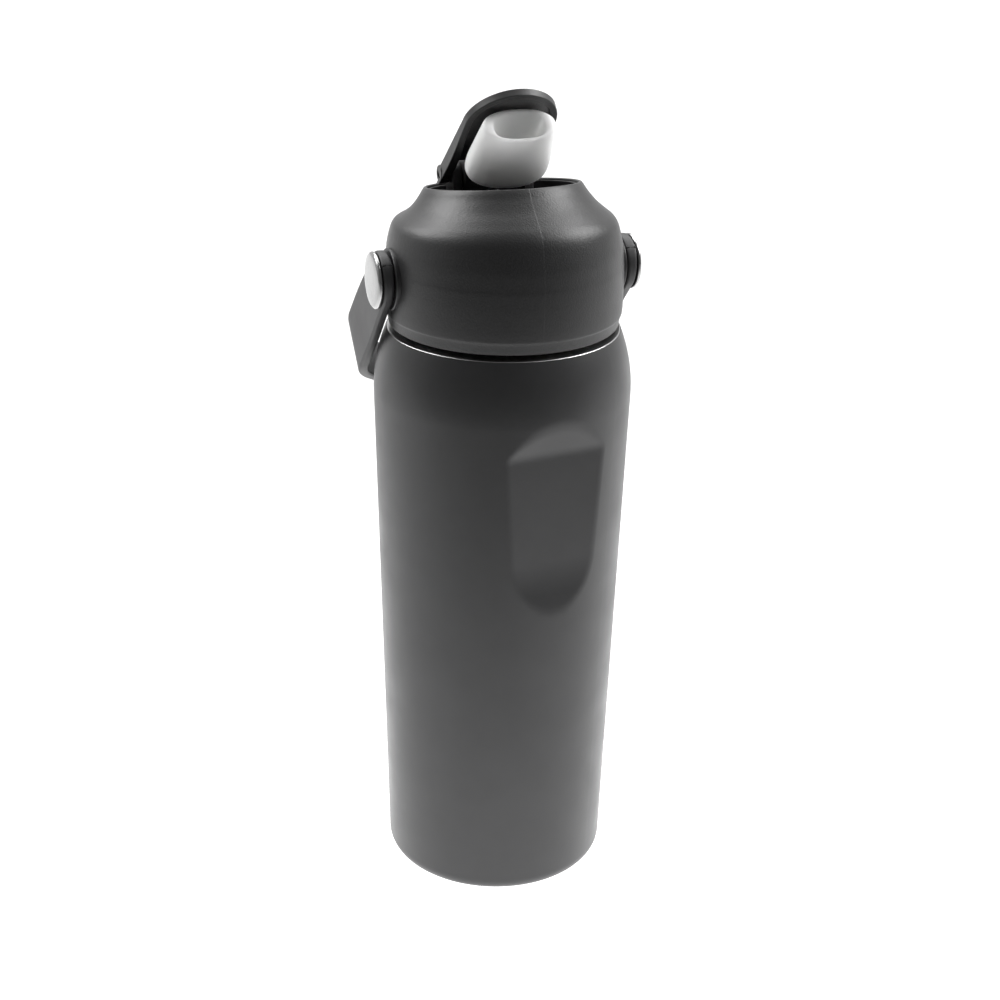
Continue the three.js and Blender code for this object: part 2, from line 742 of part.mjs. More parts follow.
/** Half-width of the band at a distance from the pivots. */
function bandHalf(reach) {
  if (reach < 0) return Math.sqrt(Math.max(EYE_HALF ** 2 - reach ** 2, 0.5));
  const swell = THREE.MathUtils.smoothstep(reach, 0, LOOP_ARM * 0.7);
  const narrow = THREE.MathUtils.smoothstep(reach, LOOP_ARM, LOOP_REACH - 6);
  const arm = THREE.MathUtils.lerp(EYE_HALF, ARM_HALF, swell);
  return THREE.MathUtils.lerp(arm, GRIP_HALF, narrow);
}

/** One edge of the loop seen square on, as [x, reach] points from the left end to the right. */
function loopEdge(inset) {
  const half = LOOP_OUTER - inset;
  const reach = LOOP_REACH - inset;
  const ends = [-EYE_HALF, -7.4, -6, -3.6, 0, 6, 14, 24];
  const left = ends.map((place) => [-half, place]);
  const arch = [];
  const steps = 20;
  for (let i = 0; i <= steps; i += 1) {
    const angle = (i / steps) * Math.PI;
    arch.push([-half * Math.cos(angle), LOOP_ARM + (reach - LOOP_ARM) * Math.sin(angle)]);
  }
  const right = ends.map((place) => [half, place]).reverse();
  return [...left, ...arch, ...right];
}

function carryLoop() {
  const outline = [...loopEdge(0), ...loopEdge(LOOP_THICK).reverse()];
  const shape = new THREE.Shape(outline.map(([x, reach]) => new THREE.Vector2(x, reach)));
  const band = new THREE.ExtrudeGeometry(shape, { depth: 2, steps: 2, bevelEnabled: false });
  // x stays, the reach runs back and down from the pivots, and the extrusion is the band's width.
  const shaped = reshaped(band, (point) => {
    const half = bandHalf(point.y);
    point.set(point.x, point.y, (point.z - 1) * half);
  });
  shaped.rotateX(-LOOP_DROP).translate(0, 0, LOOP_Z);
  const hole = bar("x", SCREW_RADIUS + GAP, BOSS_FACE - 4, LOOP_OUTER + OVERSHOOT);
  const spacerRoom = bar("x", SPACER_RADIUS + GAP, BOSS_FACE - 4, SPACER_OUT + GAP);
  const tool = joined(
    solid(hole.translate(0, 0, LOOP_Z)),
    solid(spacerRoom.translate(0, 0, LOOP_Z)),
  );
  const otherTool = tool.mirror([1, 0, 0]);
  return cut(solid(shaped), tool, otherTool);
}

const spacer = (side) =>
  solid(
    side(
      ring(SCREW_RADIUS + GAP, SPACER_RADIUS, BOSS_FACE + GAP, SPACER_OUT, FINE)
        .rotateY(Math.PI / 2)
        .translate(0, 0, LOOP_Z),
    ),
  );

const pivotScrew = (side) =>
  solid(side(bar("x", SCREW_RADIUS, SKIRT_OUTER + 2 * GAP, LOOP_OUTER).translate(0, 0, LOOP_Z)));

function pivotCap(side) {
  const low = LOOP_OUTER + GAP;
  const profile = [
    [0, low],
    [CAP_RADIUS - 0.3, low],
    [CAP_RADIUS, low + 0.3],
    [CAP_RADIUS - 0.1, low + 0.8],
    [CAP_RADIUS - 0.9, low + 1.3],
    [CAP_RADIUS - 3, low + 1.5],
    [0, low + 1.6],
  ];
  return solid(side(turned(profile, 32).rotateY(Math.PI / 2).translate(0, 0, LOOP_Z)));
}

// ---- Assembly ------------------------------------------------------------------------------------

const flask = new THREE.Group();
place(flask, "outer_shell", COATING, outerShell());
place(flask, "inner_vessel", STEEL, innerVessel());
place(flask, "base_plate", STEEL, basePlate());
place(flask, "vacuum_plug", PLUG_RESIN, vacuumPlug());
place(flask, "getter", GETTER_METAL, getter());
place(flask, "foot_pad", FOOT_RUBBER, footPad());

const lid = new THREE.Group();
place(lid, "lid_collar", BLACK_PLASTIC, lidCollar());
place(lid, "lid_liner", BLACK_PLASTIC, lidLiner());
place(lid, "lid_gasket", SEAL_SILICONE, lidGasket());
place(lid, "port_seal", SEAL_SILICONE, portSeal());
place(lid, "vent_valve", SEAL_SILICONE, ventValve());
place(lid, "straw", STRAW_PLASTIC, straw());

const spout = new THREE.Group();
spout.position.set(0, HINGE_Y, HINGE_Z);
spout.rotation.x = -OPEN_TURN;
place(spout, "spout_hood", BLACK_PLASTIC, spoutHood());
place(spout, "spout_tube", BLACK_PLASTIC, spoutTube());
place(spout, "mouthpiece", MILKY_SILICONE, mouthpiece());

const lidTop = new THREE.Group();
lidTop.position.z = LEAN_PIVOT_Z;
lidTop.rotation.x = -LEAN;
lidTop.add(spout);

const carrier = new THREE.Group();
place(carrier, "carry_loop", LOOP_PLASTIC, carryLoop());
for (const [name, side] of SIDES) {
  place(spout, "hinge_pin_" + name, STEEL, hingePin(side));
  place(carrier, "spacer_ring_" + name, BLACK_PLASTIC, spacer(side));
  place(carrier, "pivot_screw_" + name, STEEL, pivotScrew(side));
  place(carrier, "pivot_cap_" + name, CHROME, pivotCap(side));
}

lid.add(lidTop, carrier);
flask.add(lid);

export default flask;
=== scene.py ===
"""A double-walled steel drinking flask with a screw lid, a flip-up spout and a swinging carry loop."""

from math import atan2, cos, pi, radians, sin, sqrt

import bmesh
import bpy
from mathutils import Matrix, Vector


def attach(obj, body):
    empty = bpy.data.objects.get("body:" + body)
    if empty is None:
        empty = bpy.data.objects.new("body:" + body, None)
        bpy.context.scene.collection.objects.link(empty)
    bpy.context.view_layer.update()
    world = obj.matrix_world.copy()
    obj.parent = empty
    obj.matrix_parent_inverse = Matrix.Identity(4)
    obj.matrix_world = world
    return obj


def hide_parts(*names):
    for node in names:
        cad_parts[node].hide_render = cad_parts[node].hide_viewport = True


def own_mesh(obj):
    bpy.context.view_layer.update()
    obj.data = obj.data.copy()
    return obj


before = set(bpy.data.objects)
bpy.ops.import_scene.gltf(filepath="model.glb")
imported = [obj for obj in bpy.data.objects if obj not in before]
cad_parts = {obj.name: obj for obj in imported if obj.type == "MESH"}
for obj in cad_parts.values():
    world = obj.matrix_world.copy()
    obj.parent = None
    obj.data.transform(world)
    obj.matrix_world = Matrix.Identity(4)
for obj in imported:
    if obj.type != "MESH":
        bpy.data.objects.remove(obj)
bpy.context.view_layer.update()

MM = 0.001

# ---- Sizes in millimetres, nearly all of them the CAD model's ------------------------------------

GAP = 0.3  # clearance between neighbouring pieces
CORE = 0.01  # where a solid piece's outline meets the axis

BASE_RADIUS, BASE_CORNER, TAPER = 32.2, 4.6, 0.027
SHOULDER_Z, SHOULDER_ARC, LEDGE_Z = 148, 46, 165.8
FOOT_SHARE = 0.75  # how far in the underside's flat edge runs
FOOT_INNER, FOOT_OUTER, FOOT_TOP = 21, 29, 0.6
PAD_RADIUS, PAD_THICK = 20.7, 0.7
PANEL_TURN = radians(8)
PANEL_FLAT, PANEL_LOW, PANEL_HIGH = 32.65, 102.5, 139  # a little deeper and lower than in the CAD model
PANEL_FOOT, PANEL_HEAD = 92, 148
NECK_RADIUS, NECK_WALL, NECK_LOW, NECK_TOP = 27, 0.7, 165.1, 183.2
EDGE_LOW, EDGE_TOP = 165.5, 165.82  # the bare steel under the lid
LIP_LOW, LIP_TOP = 183.5, 184.3
VESSEL_FLOOR, VESSEL_CORNER, VESSEL_WALL = 7, 7, 0.7
VESSEL_INSET = 4.2  # from the body's outside to the vessel's
VESSEL_SHOULDER, VESSEL_NARROWING = 145, 18.8
THREAD_TURNS, THREAD_PITCH, THREAD_TIP = 1.25, 4, 0.4
NECK_THREAD_Z, LID_THREAD_Z = 170.5, 172.5

COLLAR_BOTTOM = 167.3
SKIRT_OUTER, SKIRT_INNER, SKIRT_BOTTOM = 30.6, 29, 169
FLOOR_LOW, FLOOR_TOP = 186.2, 188.4
RIM_RADIUS, RIM_WALL, RIM_RISE, RIM_BAND = 21.45, 1, 16.25, 0.6
BACKSTOP_RISE, BACKSTOP_HALF, BACKSTOP_RAMP = 1.9, radians(36), 0.12
LEAN, LEAN_PIVOT = radians(9.8), 188.7
LEAN_START, LEAN_END = 191, 202
DISH_WALL, DISH_LOW, DISH_TOP = 0.65, -4, 15.65
STRAW_Y, STRAW_INNER, STRAW_OUTER, STRAW_BOTTOM = 10.6, 3.3, 4.1, 11
STRAW_LIFT, STRAW_SLANT = 2, 0.466
NIPPLE_INNER, NIPPLE_OUTER, NIPPLE_LOW, NIPPLE_TOP = 2.3, 3, 174, 187
GASKET_INNER, GASKET_OUTER, GASKET_LOW = 24.4, 28.6, 184.65
SEAT_Z = FLOOR_LOW - GAP  # top of what sits under the lid's floor
PORT_BORE, PORT_POCKET, PORT_RADIUS = 2, 3.4, 5.6
PORT_LOW, POCKET_FLOOR, PORT_TOP = -1, 7.4, 9.4
VENT_Y, VENT_STEM = -11, 1.3

HINGE_Y, HINGE_Z, OPEN_TURN = 11.4, 19.1, radians(36)
ARM_OUTER, ARM_INNER = 14.5, 11.9
ARM_DEPTH, ARM_WIDTH = 3.6, 2.6
NOSE_DEPTH_LOSS, NOSE_WIDTH_LOSS = 1.5, 0.7
EAR_OUTER, EAR_INNER = 11.6, 8.8
EAR_HALF, EAR_LOW, EAR_RADIUS, EAR_BEVEL = 5, -1.5, 3.2, 0.25
EYE_RADIUS, EYE_HOLE, PIN_RADIUS, PIN_FROM, PIN_TO = 2.5, 1.25, 1, 6.5, 13.4
BARREL_RADIUS, BARREL_HALF, TUBE_RADIUS = 5.3, 8.5, 2.7
TUBE_END = (0, -11.8, -7.3)
HOOD_TOP, HOOD_LENGTH, HOOD_NOSE, HOOD_NOSE_HALF = 1.3, 36.6, 12.8, 12.8
HOOD_MIDDLE = 14  # from the hinge to a point that the hood's wall surrounds
SHEET_BACK, SHEET_MIDDLE, SHEET_INSET, SHEET_THICK = 6.5, 20, 0.8, 1.5
SHEET_TOP_SHRINK = 1 / 60
MOUTH_START, MOUTH_END = (9.4, 7.4), (31.0, 5.1)  # distance from the hinge and depth below it
MOUTH_SLANT = 1.8  # how far the lower lip stands back

LOOP_Z, LOOP_DROP = 181.3, radians(44)
LOOP_OUTER, LOOP_THICK, LOOP_ARM, LOOP_REACH = 36.2, 2.8, 35, 62.4
LOOP_CORNER, GRIP_EASE = 0.9, 6
EYE_HALF, ARM_HALF, GRIP_HALF = 7.9, 8.9, 6
BOSS_ROOT, BOSS_FACE, BOSS_RADIUS = 30.6, 33, 8.4
SPACER_BORE, SPACER_RADIUS, SPACER_THICK = 2.6, 6.6, 0.9
GROOVE_DEPTH, GROOVE_HALF = 0.5, 0.13
CAP_RADIUS = 7.8
SCREW_RADIUS, SCREW_ROOT = 2.2, 31.2

SIDES = ((-1, "Left"), (1, "Right"))

# ---- Shapes: pairs of vertices in millimetres and faces ------------------------------------------


def new_object(name, shape, body, slot, material, *stands_for):
    """A smooth-shaded mesh piece."""
    verts, faces = shape
    mesh = bpy.data.meshes.new(name)
    mesh.from_pydata([Vector(v) * MM for v in verts], [], faces)
    bm = bmesh.new()
    bm.from_mesh(mesh)
    bmesh.ops.remove_doubles(bm, verts=bm.verts, dist=1e-6)
    bmesh.ops.recalc_face_normals(bm, faces=bm.faces)
    for face in bm.faces:
        face.smooth = True
    bm.to_mesh(mesh)
    bm.free()
    mesh.materials.append(material)
    obj = bpy.data.objects.new(name, mesh)
    bpy.context.collection.objects.link(obj)
    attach(obj, body)
    if stands_for:
        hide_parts(*stands_for)
    return obj


def crisp_object(*description):
    """A mesh piece whose flat faces stay flat beside rounded corners."""
    obj = new_object(*description)
    modifier = obj.modifiers.new("Weighted", "WEIGHTED_NORMAL")
    modifier.keep_sharp = False


def eased(value, low, high):
    """Rises smoothly from 0 to 1 between low and high."""
    share = min(max((value - low) / (high - low), 0), 1)
    return share * share * (3 - 2 * share)


def loft(rings, closed_path=False, caps=True):
    """A surface through rings of equal length, each ring closed on itself."""
    count = len(rings[0])
    verts = [p for ring in rings for p in ring]
    faces = []
    last = len(rings) if closed_path else len(rings) - 1
    for i in range(last):
        a, b = i * count, ((i + 1) % len(rings)) * count
        for j in range(count):
            k = (j + 1) % count
            faces.append((a + j, a + k, b + k, b + j))
    if caps and not closed_path:
        for start in (0, (len(rings) - 1) * count):
            centre = Vector((0, 0, 0))
            for j in range(count):
                centre += Vector(verts[start + j]) / count
            verts.append(tuple(centre))
            hub = len(verts) - 1
            for j in range(count):
                faces.append((start + j, start + (j + 1) % count, hub))
    return verts, faces


def filleted(points, radius, steps=4):
    """A polyline with each inner corner rounded."""
    out = [points[0]]
    for before, corner, after in zip(points, points[1:], points[2:]):
        p, q, r = Vector(before), Vector(corner), Vector(after)
        reach = min(radius, 0.45 * (q - p).length, 0.45 * (r - q).length)
        start = q + (p - q).normalized() * reach
        end = q + (r - q).normalized() * reach
        for i in range(steps + 1):
            t = i / steps
            point = start * (1 - t) ** 2 + q * 2 * t * (1 - t) + end * t**2
            out.append(tuple(point))
    out.append(points[-1])
    return out


def catmull_rom(a, b, c, d, t):
    """The point at t between b and c."""
    return tuple(
        0.5 * (2 * q + (r - p) * t + (2 * p - 5 * q + 4 * r - s) * t * t + (3 * q - p - 3 * r + s) * t**3)
        for p, q, r, s in zip(a, b, c, d)
    )


def smooth_curve(points, steps):
    """A smooth curve through points."""
    padded = [points[0]] + list(points) + [points[-1]]
    out = []
    for a, b, c, d in zip(padded, padded[1:], padded[2:], padded[3:]):
        out += [catmull_rom(a, b, c, d, i / steps) for i in range(steps)]
    out.append(tuple(points[-1]))
    return out


def rod(radius, low, high):
    """Outline of a solid round bar."""
    return [(CORE, low), (radius, low), (radius, high), (CORE, high)]


def sleeve(inner, outer, low, high):
    """Outline of a tube."""
    return [(inner, low), (outer, low), (outer, high), (inner, high)]


def turned(profile, segments=128, closed=False, warp=None, fillet=0):
    """A [radius, height] outline turned round +Z."""
    if closed:
        profile = list(profile) + [profile[0]]
    if fillet:
        profile = filleted(profile, fillet)
    if closed:
        profile = profile[:-1]
    rings = []
    for radius, height in profile:
        ring = []
        for j in range(segments):
            angle = 2 * pi * j / segments
            point = (radius * sin(angle), radius * cos(angle), height)
            ring.append(warp(*point) if warp else point)
        rings.append(ring)
    return loft(rings, closed_path=closed)


def helix(radius, low_z, tip, root, half_root, steps=120):
    """A thread ridge whose foot and crest stand root and tip outside a radius."""
    rings = []
    for i in range(steps + 1):
        share = i / steps
        angle = 2 * pi * THREAD_TURNS * share
        height = low_z + THREAD_PITCH * THREAD_TURNS * share
        fade = min(1, min(share, 1 - share) * 12 + 0.02)
        crest = tip * fade
        ring = []
        for out, up in ((root, -half_root), (crest, -THREAD_TIP), (crest, THREAD_TIP), (root, half_root)):
            ring.append(((radius + out) * cos(angle), (radius + out) * sin(angle), height + up * fade))
        rings.append(ring)
    return loft(rings)


def moved(shape, matrix):
    """The shape moved by a matrix in millimetres."""
    verts, faces = shape
    return [tuple(matrix @ Vector(v)) for v in verts], faces


def along_x(shape, side=1):
    """A shape turned round +Z, laid along X to one side."""
    verts, faces = shape
    return [(side * z, y, x) for x, y, z in verts], faces


def together(*shapes):
    """Several shapes as one."""
    verts, faces = [], []
    for v, f in shapes:
        shift = len(verts)
        verts += v
        faces += [tuple(i + shift for i in face) for face in f]
    return verts, faces


# ---- Materials -----------------------------------------------------------------------------------


class Paint:
    """A procedural material built round one Principled shader."""

    def __init__(self, name, **sockets):
        self.material = bpy.data.materials.new(name)
        self.material.use_nodes = True
        self.tree = self.material.node_tree
        self.shader = self.tree.nodes["Principled BSDF"]
        for key, value in sockets.items():
            self.shader.inputs[key.replace("_", " ")].default_value = value
        self.where = self.tree.nodes.new("ShaderNodeTexCoord").outputs["Object"]

    def noise(self, size_mm, detail=2, stretch=None):
        """Noise with features about size_mm across."""
        source = self.where
        if stretch:
            mapping = self.tree.nodes.new("ShaderNodeMapping")
            mapping.inputs["Scale"].default_value = stretch
            self.tree.links.new(source, mapping.inputs["Vector"])
            source = mapping.outputs["Vector"]
        node = self.tree.nodes.new("ShaderNodeTexNoise")
        node.inputs["Scale"].default_value = 1 / (size_mm * MM)
        node.inputs["Detail"].default_value = detail
        self.tree.links.new(source, node.inputs["Vector"])
        return node.outputs["Fac"]

    def vary(self, socket, source, low, high):
        """Lets a colour or a number drift between two values with a noise."""
        node = self.tree.nodes.new("ShaderNodeValToRGB")
        for element, place, value in zip(node.color_ramp.elements, (0.3, 0.7), (low, high)):
            element.position = place
            grey = isinstance(value, (int, float))
            element.color = (value, value, value, 1) if grey else (*value, 1)
        self.tree.links.new(source, node.inputs["Fac"])
        self.drive(socket, node.outputs["Color"])

    def drive(self, socket, source):
        self.tree.links.new(source, self.shader.inputs[socket])

    def bump(self, *layers):
        """Bump from (source, height in mm, strength) layers."""
        normal = None
        for source, height, strength in layers:
            node = self.tree.nodes.new("ShaderNodeBump")
            node.inputs["Strength"].default_value = strength
            node.inputs["Distance"].default_value = height * MM
            self.tree.links.new(source, node.inputs["Height"])
            if normal is not None:
                self.tree.links.new(normal, node.inputs["Normal"])
            normal = node.outputs["Normal"]
        self.drive("Normal", normal)


def grained(name, tone, spread, rough, grain, depth, strength, **sockets):
    """A moulded or coated surface: soft colour drift, varied gloss and a fine grain."""
    paint = Paint(name, **sockets)
    dark = tuple(c * (1 - spread) for c in tone)
    light = tuple(c * (1 + spread) for c in tone)
    paint.vary("Base Color", paint.noise(9, 3), dark, light)
    paint.vary("Roughness", paint.noise(14, 4), rough - 0.04, rough + 0.04)
    fine = paint.noise(grain)
    coarse = paint.noise(grain * 5)
    paint.bump((fine, depth, strength), (coarse, depth * 1.5, strength * 0.35))
    return paint.material


def parted(material):
    """Adds the mould's parting line, a faint step where X is 0."""
    half_width, step_height = 0.2 * MM, 0.06 * MM
    tree = material.node_tree
    where = tree.nodes.new("ShaderNodeTexCoord").outputs["Object"]
    split = tree.nodes.new("ShaderNodeSeparateXYZ")
    tree.links.new(where, split.inputs["Vector"])
    ramp = tree.nodes.new("ShaderNodeMapRange")
    ramp.interpolation_type = "SMOOTHSTEP"
    ramp.inputs["From Min"].default_value = -half_width
    ramp.inputs["From Max"].default_value = half_width
    tree.links.new(split.outputs["X"], ramp.inputs["Value"])
    bump = tree.nodes.new("ShaderNodeBump")
    bump.invert = True
    bump.inputs["Strength"].default_value = 0.5
    bump.inputs["Distance"].default_value = step_height
    tree.links.new(ramp.outputs["Result"], bump.inputs["Height"])
    shader = tree.nodes["Principled BSDF"]
    tree.links.new(shader.inputs["Normal"].links[0].from_socket, bump.inputs["Normal"])
    tree.links.new(bump.outputs["Normal"], shader.inputs["Normal"])
    return material


def silicone(name, tone, rough, scatter):
    """Soft milky rubber that lets some light through."""
    paint = Paint(
        name,
        Subsurface_Weight=scatter,
        Subsurface_Radius=(0.006, 0.006, 0.006),
        Subsurface_Scale=1.1,
        Coat_Weight=0.05,
        Coat_Roughness=0.3,
    )
    paint.vary("Base Color", paint.noise(6), tuple(c * 0.985 for c in tone), tone)
    paint.vary("Roughness", paint.noise(3, 3), rough - 0.05, rough + 0.05)
    paint.bump((paint.noise(0.4), 0.01, 0.15))
    return paint.material


def steel(name, tone, rough, stretch):
    """Metal with fine lines along the axes that have a small stretch."""
    paint = Paint(name, Metallic=1)
    paint.vary("Base Color", paint.noise(7, 3), tone * 0.94, tone * 1.06)
    lines = paint.noise(0.35, 3, stretch)
    paint.vary("Roughness", lines, rough - 0.05, rough + 0.07)
    paint.bump((lines, 0.01, 0.12))
    return paint.material


def clear_plastic(name):
    paint = Paint(name, IOR=1.46, Transmission_Weight=0.6)
    paint.vary("Base Color", paint.noise(8), 0.78, 0.84)
    paint.vary("Roughness", paint.noise(3), 0.22, 0.34)
    paint.bump((paint.noise(0.8), 0.01, 0.1))
    return paint.material


BLACK = (0.018, 0.018, 0.0185)
# name, colour, colour drift, roughness, size of the grain and its depth in mm, strength of the grain
COATING = grained("Coating", (0.025, 0.025, 0.026), 0.06, 0.37, 0.42, 0.03, 0.4)
LID = grained("LidPlastic", BLACK, 0.05, 0.42, 0.42, 0.05, 0.8)
LOOP = grained("LoopPlastic", (0.030, 0.030, 0.031), 0.06, 0.5, 0.6, 0.03, 0.35)
COLLAR = parted(grained("CollarPlastic", BLACK, 0.05, 0.41, 0.45, 0.06, 0.9))
DARK = grained("InnerPlastic", (0.014, 0.014, 0.0145), 0.05, 0.5, 0.3, 0.02, 0.3)
RUBBER = grained("FootRubber", (0.02, 0.02, 0.02), 0.1, 0.75, 0.4, 0.03, 0.4)
RESIN = grained("PlugResin", (0.1, 0.095, 0.09), 0.1, 0.4, 0.5, 0.02, 0.2)
GETTER = grained("GetterMetal", (0.35, 0.35, 0.36), 0.1, 0.5, 0.3, 0.02, 0.3, Metallic=1)
MILKY = silicone("MilkySilicone", tone=(0.9, 0.9, 0.89), rough=0.45, scatter=0.9)
SEAL = silicone("SealSilicone", tone=(0.62, 0.63, 0.64), rough=0.5, scatter=0.3)
STEEL = steel("SatinSteel", tone=0.45, rough=0.32, stretch=(0.04, 0.04, 1))
CHROME = steel("Chrome", tone=0.4, rough=0.18, stretch=(0.2, 1, 0.2))
STRAW = clear_plastic("StrawPlastic")

# ---- Body: the coated outside with its pressed thumb panel ---------------------------------------


def straight_radius(z):
    return BASE_RADIUS + TAPER * (z - BASE_CORNER)


def body_radius(z):
    """Radius of the body between the underside and the ledge under the lid."""
    if z < BASE_CORNER:
        drop = BASE_CORNER - z
        return BASE_RADIUS - BASE_CORNER + sqrt(max(BASE_CORNER**2 - drop**2, 0))
    if z <= SHOULDER_Z:
        return straight_radius(z)
    centre = straight_radius(SHOULDER_Z) - SHOULDER_ARC
    return centre + sqrt(SHOULDER_ARC**2 - (z - SHOULDER_Z) ** 2)


def smaller(a, b, soft):
    """The smaller of two numbers, with a soft join."""
    gap = max(soft - abs(a - b), 0) / soft
    return min(a, b) - gap * gap * soft / 4


def larger(a, b, soft):
    return -smaller(-a, -b, soft)


def panel_distance(z):
    """Distance from the axis to the pressed panel at a height."""
    rise = (straight_radius(SHOULDER_Z) - PANEL_FLAT) / (PANEL_HEAD - PANEL_HIGH)
    fall = (straight_radius(PANEL_FOOT) - PANEL_FLAT) / (PANEL_LOW - PANEL_FOOT)
    above = PANEL_FLAT + (z - PANEL_HIGH) * rise
    below = PANEL_FLAT + (PANEL_LOW - z) * fall
    return larger(larger(PANEL_FLAT, above, 0.5), below, 0.9)


def spaced(stops):
    """Numbers that run through (value, step) stops, finely where the step is small."""
    values = [stops[0][0]]
    for (start, step), (end, _) in zip(stops, stops[1:]):
        count = max(1, round((end - start) / step))
        values += [start + (end - start) * (i + 1) / count for i in range(count)]
    return values


def body_shell():
    corner = [BASE_CORNER * (1 - cos(a * pi / 20)) for a in range(10)]
    heights = corner + spaced([(BASE_CORNER, 8), (88, 0.6), (152, 1.5), (165.7, 1)])
    turns = [radians(a) for a in spaced([(-180, 3), (-32, 0.4), (32, 3), (180, 3)])][:-1]
    rings = []
    for z in heights:
        ring = []
        for turn in turns:
            radius = body_radius(z)
            if cos(turn) > 0.7:
                soft = 0.4 + 0.5 * eased(z, PANEL_HIGH, PANEL_HEAD)
                radius = smaller(radius, panel_distance(z) / cos(turn), soft)
            angle = turn - pi / 2 + PANEL_TURN
            ring.append((radius * cos(angle), radius * sin(angle), z))
        rings.append(ring)
    underside = [(x * FOOT_SHARE, y * FOOT_SHARE, 0) for x, y, _ in rings[0]]
    return loft([underside] + rings, caps=False)


new_object("Body", body_shell(), "bottle", "body_coating", COATING, "outer_shell")

# ---- Neck with the bare edge at its foot, thread and foot ----------------------------------------

edge_radius = body_radius(LEDGE_Z)
neck_outline = [
    (body_radius(EDGE_LOW) - 0.1, EDGE_LOW),
    (edge_radius - 0.12, EDGE_TOP - 0.1),
    (edge_radius - 0.3, EDGE_TOP),
    (NECK_RADIUS + 0.6, EDGE_TOP),
    (NECK_RADIUS, 166.7),
    (NECK_RADIUS, NECK_TOP),
    (NECK_RADIUS - NECK_WALL, NECK_TOP),
    (NECK_RADIUS - NECK_WALL, NECK_LOW),
    (edge_radius - 0.9, NECK_LOW),
]
neck = turned(neck_outline, 160, closed=True, fillet=0.2)
crisp_object("NeckEdge", neck, "bottle", "steel", STEEL)
neck_thread = helix(NECK_RADIUS, NECK_THREAD_Z, tip=0.35, root=-0.3, half_root=1.1)
new_object("NeckThread", neck_thread, "bottle", "steel", STEEL)
foot_ring = turned(sleeve(FOOT_INNER, FOOT_OUTER, 0.01, FOOT_TOP), closed=True, fillet=0.1)
new_object("FootRing", foot_ring, "bottle", "body_coating", COATING)
foot_pad = turned(rod(PAD_RADIUS, 0, PAD_THICK), 96, fillet=0.25)
crisp_object("FootPad", foot_pad, "bottle", "foot_rubber", RUBBER, "foot_pad")

# ---- Inner vessel --------------------------------------------------------------------------------


def vessel_outline(inset):
    """The vessel's wall from the floor's edge to the start of the neck."""
    offset = VESSEL_INSET + inset
    low = VESSEL_FLOOR + VESSEL_CORNER
    corner = VESSEL_CORNER - inset
    points = []
    for i in range(9):
        angle = -pi / 2 + i * pi / 16
        radius = straight_radius(low) - offset - corner + corner * cos(angle)
        points.append((radius, low + corner * sin(angle)))
    wall = straight_radius(VESSEL_SHOULDER) - offset
    neck_radius = NECK_RADIUS - NECK_WALL - GAP - inset
    for i in range(13):
        share = i / 12
        radius = wall + (neck_radius - wall) * eased(share, 0, 1)
        points.append((radius, VESSEL_SHOULDER + VESSEL_NARROWING * share))
    return points


vessel_neck = NECK_RADIUS - NECK_WALL - GAP
lip = [
    (vessel_neck, LIP_LOW),
    (NECK_RADIUS - 0.1, LIP_LOW),
    (NECK_RADIUS, 184.0),
    (NECK_RADIUS - 0.5, LIP_TOP),
    (vessel_neck - 0.4, LIP_TOP),
    (vessel_neck - VESSEL_WALL, 183.9),
]
outside = [(CORE, VESSEL_FLOOR)] + vessel_outline(0)
inside = [(CORE, VESSEL_FLOOR + VESSEL_WALL)] + vessel_outline(VESSEL_WALL)
new_object("Vessel", turned(outside + lip + inside[::-1]), "bottle", "steel", STEEL, "inner_vessel")

# ---- Lid: the collar with its concave flare ------------------------------------------------------


def bent_back(x, y, z):
    """The upper part of the lid leans back about a line along X."""
    angle = -LEAN * eased(z, LEAN_START, LEAN_END)
    height = z - LEAN_PIVOT
    return (x, y * cos(angle) - height * sin(angle), LEAN_PIVOT + y * sin(angle) + height * cos(angle))


leaning = Matrix.Translation((0, 0, LEAN_PIVOT)) @ Matrix.Rotation(-LEAN, 4, "X")

RIM_Z = LEAN_PIVOT + RIM_RISE
collar_foot = [
    (31.1, COLLAR_BOTTOM),
    (31.6, COLLAR_BOTTOM),
    (31.75, COLLAR_BOTTOM + 0.08),
    (31.82, COLLAR_BOTTOM + 0.25),
    (32.0, 168.6),
    (32.28, 170.0),
    (32.36, 170.3),
    (32.46, 170.5),
    (32.58, 170.65),
]
collar_side = smooth_curve([(32.66, 170.9), (32.8, 173.5), (32.85, 179), (32.7, 184.2)], 4)
collar_fold = [(32.66, 184.45), (32.61, 184.9)]
collar_flare = smooth_curve(
    [
        (32.52, 186.2),
        (32.2, 189.5),
        (31.5, 192.6),
        (30.7, 194.9),
        (29.5, 196.4),
        (27.5, 197.9),
        (25.2, 199.8),
        (23.2, 202.2),
        (22.1, 203.9),
    ],
    6,
)
collar_rim = [(21.55, 204.7), (21.35, 204.93), (21.0, RIM_Z + 0.02), (20.65, 204.9), (20.5, 204.6)]
collar_inside = [
    (20.5, 203.0),
    (21.2, 201.0),
    (24.0, 197.5),
    (28.2, 194.0),
    (30.0, 191.5),
    (30.9, 188.5),
    (30.9, 168.2),
]


def collar_shape(x, y, z):
    """The rim stands higher behind the hinge, and the upper part leans back."""
    if z > RIM_Z - RIM_BAND:
        turn = abs(atan2(x, y)) / BACKSTOP_HALF
        z += BACKSTOP_RISE * min(1, max(0, (1 + BACKSTOP_RAMP - turn) / BACKSTOP_RAMP))
    return bent_back(x, y, z)


collar_outline = collar_foot + collar_side + collar_fold + collar_flare + collar_rim + collar_inside
collar = turned(collar_outline, 216, closed=True, warp=collar_shape)
new_object("Collar", collar, "lid", "lid_plastic", COLLAR, "lid_collar")

# ---- Lid: what holds the carry loop, from the boss out to the chrome cap -------------------------


